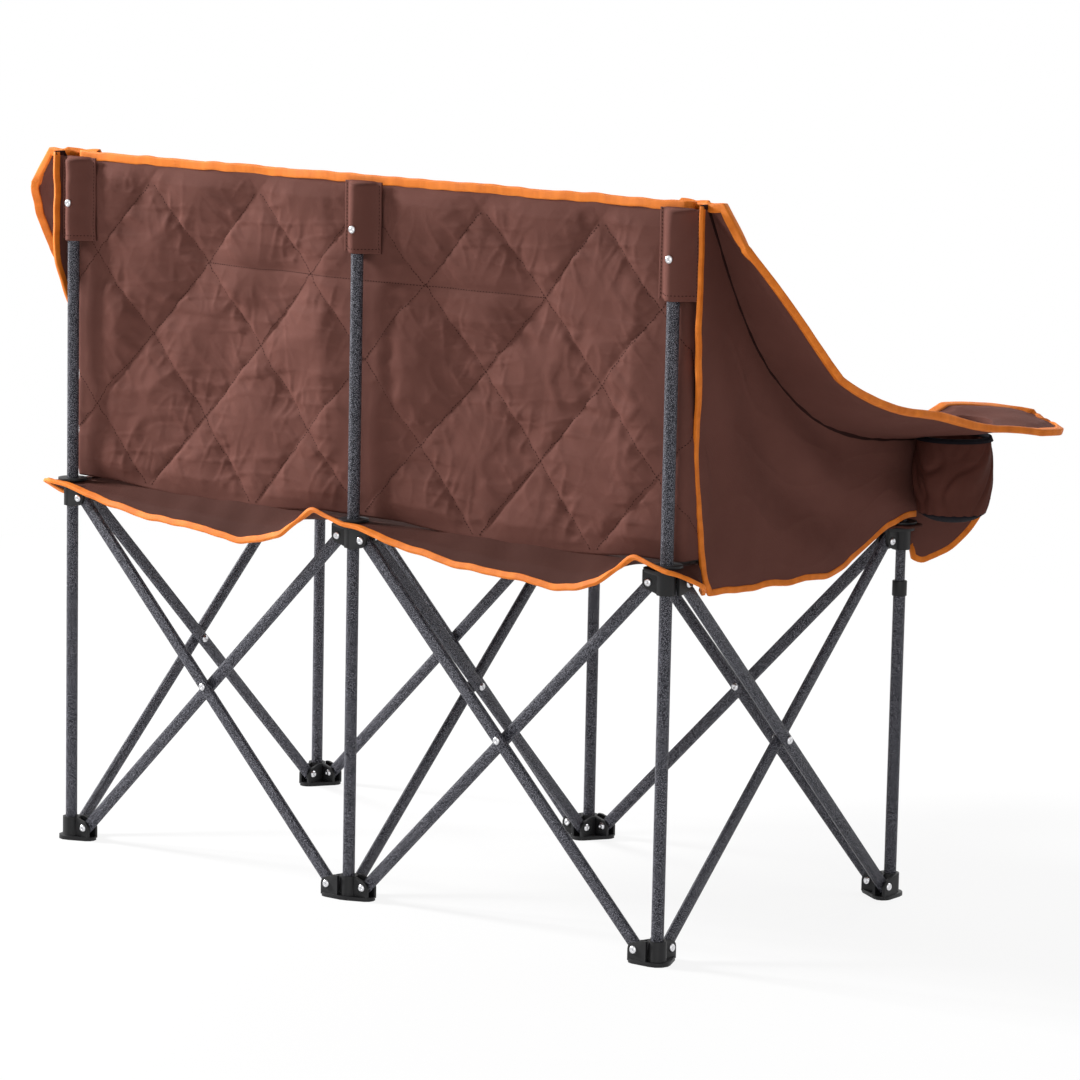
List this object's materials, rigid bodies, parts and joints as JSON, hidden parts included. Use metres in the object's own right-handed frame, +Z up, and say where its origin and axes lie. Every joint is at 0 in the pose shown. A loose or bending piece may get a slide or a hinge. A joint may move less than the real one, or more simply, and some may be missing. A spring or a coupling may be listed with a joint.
{
  "type": "folding camping loveseat",
  "caption": "two-person folding camp seat: scissor-braced steel tube frame, quilted sling seat and back, flared padded arms with hanging cup holders",
  "frame": {"origin": "on the floor under the middle of the outline, with the seat opened out", "axes": "+X to the sitter's left, +Y behind the sitter, +Z up"},
  "size_m": [1.3132, 0.7078, 0.9314],
  "materials": {
    "steel_tube": "satin",
    "black_plastic": "satin",
    "quilted_cloth": "matte",
    "sleeve_cloth": "matte",
    "pouch_cloth": "matte"
  },
  "bodies": {
    "rear_middle_column": {"foot_rear_middle": "black_plastic", "pole_rear_middle": "steel_tube", "sleeve_middle": "sleeve_cloth", "back_panel": "quilted_cloth"},
    "rear_left_column": {"foot_rear_left": "black_plastic", "pole_rear_left": "steel_tube", "sleeve_left": "sleeve_cloth"},
    "rear_right_column": {"foot_rear_right": "black_plastic", "pole_rear_right": "steel_tube", "sleeve_right": "sleeve_cloth"},
    "front_left_column": {"foot_front_left": "black_plastic", "leg_front_left": "steel_tube", "collar_left": "black_plastic"},
    "front_middle_column": {"foot_front_middle": "black_plastic", "leg_front_middle": "steel_tube", "collar_middle": "black_plastic"},
    "front_right_column": {"foot_front_right": "black_plastic", "leg_front_right": "steel_tube", "collar_right": "black_plastic"},
    "hub_rear_left_body": {"hub_rear_left": "black_plastic"},
    "hub_rear_middle_body": {"hub_rear_middle": "black_plastic"},
    "hub_rear_right_body": {"hub_rear_right": "black_plastic"},
    "hub_front_left_body": {"hub_front_left": "black_plastic", "post_front_left": "steel_tube"},
    "hub_front_middle_body": {"hub_front_middle": "black_plastic", "post_front_middle": "steel_tube"},
    "hub_front_right_body": {"hub_front_right": "black_plastic", "post_front_right": "steel_tube"},
    "rear_left_falling": {"brace_rear_left_falling": "steel_tube"},
    "rear_left_rising": {"brace_rear_left_rising": "steel_tube"},
    "rear_right_falling": {"brace_rear_right_falling": "steel_tube"},
    "rear_right_rising": {"brace_rear_right_rising": "steel_tube"},
    "front_left_falling": {"brace_front_left_falling": "steel_tube"},
    "front_left_rising": {"brace_front_left_rising": "steel_tube"},
    "front_right_falling": {"brace_front_right_falling": "steel_tube"},
    "front_right_rising": {"brace_front_right_rising": "steel_tube"},
    "side_left_falling": {"brace_side_left_falling": "steel_tube"},
    "side_left_rising": {"brace_side_left_rising": "steel_tube"},
    "side_middle_falling": {"brace_side_middle_falling": "steel_tube"},
    "side_middle_rising": {"brace_side_middle_rising": "steel_tube"},
    "side_right_falling": {"brace_side_right_falling": "steel_tube"},
    "side_right_rising": {"brace_side_right_rising": "steel_tube"},
    "seat_rear_half": {"seat_rear": "quilted_cloth"},
    "seat_front_half": {"seat_front": "quilted_cloth"},
    "side_cover_left": {"side_panel_left": "quilted_cloth", "side_lining_left": "quilted_cloth", "armrest_left": "quilted_cloth", "cup_holder_left": "pouch_cloth"},
    "side_cover_right": {"side_panel_right": "quilted_cloth", "side_lining_right": "quilted_cloth", "armrest_right": "quilted_cloth", "cup_holder_right": "pouch_cloth"}
  },
  "joints": [
    {"name": "fold", "type": "hinge", "parent": "rear_middle_column", "child": "rear_right_rising", "pos_m": [-0.025, 0.32249, 0.017], "axis": [0, 1, 0], "range_deg": [0, 42.12], "deforming": ["back_panel", "seat_rear", "seat_front", "side_panel_left", "side_panel_right", "side_lining_left", "side_lining_right", "armrest_left", "armrest_right", "cup_holder_left", "cup_holder_right"]},
    {"name": "rear_right_crossing", "type": "hinge", "parent": "rear_right_rising", "child": "rear_right_falling", "pos_m": [-0.25, 0.32849, 0.2435], "axis": [0, 1, 0], "range_deg": [-84.24, 0]},
    {"name": "rear_right_foot_pivot", "type": "hinge", "parent": "rear_right_falling", "child": "rear_right_column", "pos_m": [-0.475, 0.33448, 0.017], "axis": [0, 1, 0], "range_deg": [0, 42.12]},
    {"name": "rear_right_hub_pivot", "type": "hinge", "parent": "rear_right_rising", "child": "hub_rear_right_body", "pos_m": [-0.475, 0.32249, 0.47], "axis": [0, 1, 0], "range_deg": [-42.12, 0]},
    {"name": "rear_left_root_pivot", "type": "hinge", "parent": "rear_middle_column", "child": "rear_left_falling", "pos_m": [0.025, 0.33448, 0.017], "axis": [0, 1, 0], "range_deg": [-42.12, 0]},
    {"name": "rear_left_crossing", "type": "hinge", "parent": "rear_left_falling", "child": "rear_left_rising", "pos_m": [0.25, 0.32849, 0.2435], "axis": [0, 1, 0], "range_deg": [0, 84.24]},
    {"name": "rear_left_foot_pivot", "type": "hinge", "parent": "rear_left_rising", "child": "rear_left_column", "pos_m": [0.475, 0.32249, 0.017], "axis": [0, 1, 0], "range_deg": [-42.12, 0]},
    {"name": "rear_left_hub_pivot", "type": "hinge", "parent": "rear_left_falling", "child": "hub_rear_left_body", "pos_m": [0.475, 0.33448, 0.47], "axis": [0, 1, 0], "range_deg": [0, 42.12]},
    {"name": "side_middle_root_pivot", "type": "hinge", "parent": "rear_middle_column", "child": "side_middle_rising", "pos_m": [0.006, 0.30349, 0.017], "axis": [1, 0, 0], "range_deg": [-42.12, 0]},
    {"name": "side_middle_crossing", "type": "hinge", "parent": "side_middle_rising", "child": "side_middle_falling", "pos_m": [0, 0.07848, 0.2435], "axis": [1, 0, 0], "range_deg": [0, 84.24]},
    {"name": "front_middle_foot_pivot", "type": "hinge", "parent": "side_middle_falling", "child": "front_middle_column", "pos_m": [-0.006, -0.14652, 0.017], "axis": [1, 0, 0], "range_deg": [-42.12, 0]},
    {"name": "front_middle_hub_pivot", "type": "hinge", "parent": "side_middle_rising", "child": "hub_front_middle_body", "pos_m": [0.006, -0.14652, 0.47], "axis": [1, 0, 0], "range_deg": [0, 42.12]},
    {"name": "rear_middle_hub_pivot", "type": "hinge", "parent": "side_middle_falling", "child": "hub_rear_middle_body", "pos_m": [-0.006, 0.30349, 0.47], "axis": [1, 0, 0], "range_deg": [-42.12, 0]},
    {"name": "side_right_root_pivot", "type": "hinge", "parent": "rear_right_column", "child": "side_right_rising", "pos_m": [-0.494, 0.30349, 0.017], "axis": [1, 0, 0], "range_deg": [-42.12, 0]},
    {"name": "side_right_crossing", "type": "hinge", "parent": "side_right_rising", "child": "side_right_falling", "pos_m": [-0.5, 0.07848, 0.2435], "axis": [1, 0, 0], "range_deg": [0, 84.24]},
    {"name": "front_right_foot_pivot", "type": "hinge", "parent": "side_right_falling", "child": "front_right_column", "pos_m": [-0.506, -0.14652, 0.017], "axis": [1, 0, 0], "range_deg": [-42.12, 0]},
    {"name": "front_right_hub_pivot", "type": "hinge", "parent": "side_right_rising", "child": "hub_front_right_body", "pos_m": [-0.494, -0.14652, 0.47], "axis": [1, 0, 0], "range_deg": [0, 42.12]},
    {"name": "side_left_root_pivot", "type": "hinge", "parent": "rear_left_column", "child": "side_left_rising", "pos_m": [0.506, 0.30349, 0.017], "axis": [1, 0, 0], "range_deg": [-42.12, 0]},
    {"name": "side_left_crossing", "type": "hinge", "parent": "side_left_rising", "child": "side_left_falling", "pos_m": [0.5, 0.07848, 0.2435], "axis": [1, 0, 0], "range_deg": [0, 84.24]},
    {"name": "front_left_foot_pivot", "type": "hinge", "parent": "side_left_falling", "child": "front_left_column", "pos_m": [0.494, -0.14652, 0.017], "axis": [1, 0, 0], "range_deg": [-42.12, 0]},
    {"name": "front_left_hub_pivot", "type": "hinge", "parent": "side_left_rising", "child": "hub_front_left_body", "pos_m": [0.506, -0.14652, 0.47], "axis": [1, 0, 0], "range_deg": [0, 42.12]},
    {"name": "front_right_root_pivot", "type": "hinge", "parent": "front_middle_column", "child": "front_right_rising", "pos_m": [-0.025, -0.17752, 0.017], "axis": [0, 1, 0], "range_deg": [0, 42.12]},
    {"name": "front_right_crossing", "type": "hinge", "parent": "front_right_rising", "child": "front_right_falling", "pos_m": [-0.25, -0.17152, 0.2435], "axis": [0, 1, 0], "range_deg": [-84.24, 0]},
    {"name": "front_left_root_pivot", "type": "hinge", "parent": "front_middle_column", "child": "front_left_falling", "pos_m": [0.025, -0.16551, 0.017], "axis": [0, 1, 0], "range_deg": [-42.12, 0]},
    {"name": "front_left_crossing", "type": "hinge", "parent": "front_left_falling", "child": "front_left_rising", "pos_m": [0.25, -0.17152, 0.2435], "axis": [0, 1, 0], "range_deg": [0, 84.24]},
    {"name": "seat_rear_edge", "type": "hinge", "parent": "hub_rear_middle_body", "child": "seat_rear_half", "pos_m": [0, 0.32849, 0.489], "axis": [1, 0, 0], "range_deg": [0, 82.14]},
    {"name": "seat_front_edge", "type": "hinge", "parent": "hub_front_middle_body", "child": "seat_front_half", "pos_m": [0, -0.17152, 0.489], "axis": [1, 0, 0], "range_deg": [-82.14, 0]},
    {"name": "side_cover_left_rear_edge", "type": "hinge", "parent": "rear_left_column", "child": "side_cover_left", "pos_m": [0.5, 0.32849, 0.69], "axis": [1, 0, 0], "range_deg": [-17.7, 0]},
    {"name": "side_cover_right_rear_edge", "type": "hinge", "parent": "rear_right_column", "child": "side_cover_right", "pos_m": [-0.5, 0.32849, 0.69], "axis": [1, 0, 0], "range_deg": [-17.7, 0]}
  ],
  "couplings": [
    {"joint": "rear_right_crossing", "follows": "fold", "ratio": -2},
    {"joint": "rear_right_foot_pivot", "follows": "fold", "ratio": 1},
    {"joint": "rear_right_hub_pivot", "follows": "fold", "ratio": -1},
    {"joint": "rear_left_root_pivot", "follows": "fold", "ratio": -1},
    {"joint": "rear_left_crossing", "follows": "fold", "ratio": 2},
    {"joint": "rear_left_foot_pivot", "follows": "fold", "ratio": -1},
    {"joint": "rear_left_hub_pivot", "follows": "fold", "ratio": 1},
    {"joint": "side_middle_root_pivot", "follows": "fold", "ratio": -1},
    {"joint": "side_middle_crossing", "follows": "fold", "ratio": 2},
    {"joint": "front_middle_foot_pivot", "follows": "fold", "ratio": -1},
    {"joint": "front_middle_hub_pivot", "follows": "fold", "ratio": 1},
    {"joint": "rear_middle_hub_pivot", "follows": "fold", "ratio": -1},
    {"joint": "side_right_root_pivot", "follows": "fold", "ratio": -1},
    {"joint": "side_right_crossing", "follows": "fold", "ratio": 2},
    {"joint": "front_right_foot_pivot", "follows": "fold", "ratio": -1},
    {"joint": "front_right_hub_pivot", "follows": "fold", "ratio": 1},
    {"joint": "side_left_root_pivot", "follows": "fold", "ratio": -1},
    {"joint": "side_left_crossing", "follows": "fold", "ratio": 2},
    {"joint": "front_left_foot_pivot", "follows": "fold", "ratio": -1},
    {"joint": "front_left_hub_pivot", "follows": "fold", "ratio": 1},
    {"joint": "front_right_root_pivot", "follows": "fold", "ratio": 1},
    {"joint": "front_right_crossing", "follows": "fold", "ratio": -2},
    {"joint": "front_left_root_pivot", "follows": "fold", "ratio": -1},
    {"joint": "front_left_crossing", "follows": "fold", "ratio": 2},
    {"joint": "seat_rear_edge", "follows": "fold", "ratio": 1.95},
    {"joint": "seat_front_edge", "follows": "fold", "ratio": -1.95},
    {"joint": "side_cover_left_rear_edge", "follows": "fold", "ratio": -0.42},
    {"joint": "side_cover_right_rear_edge", "follows": "fold", "ratio": -0.42}
  ]
}
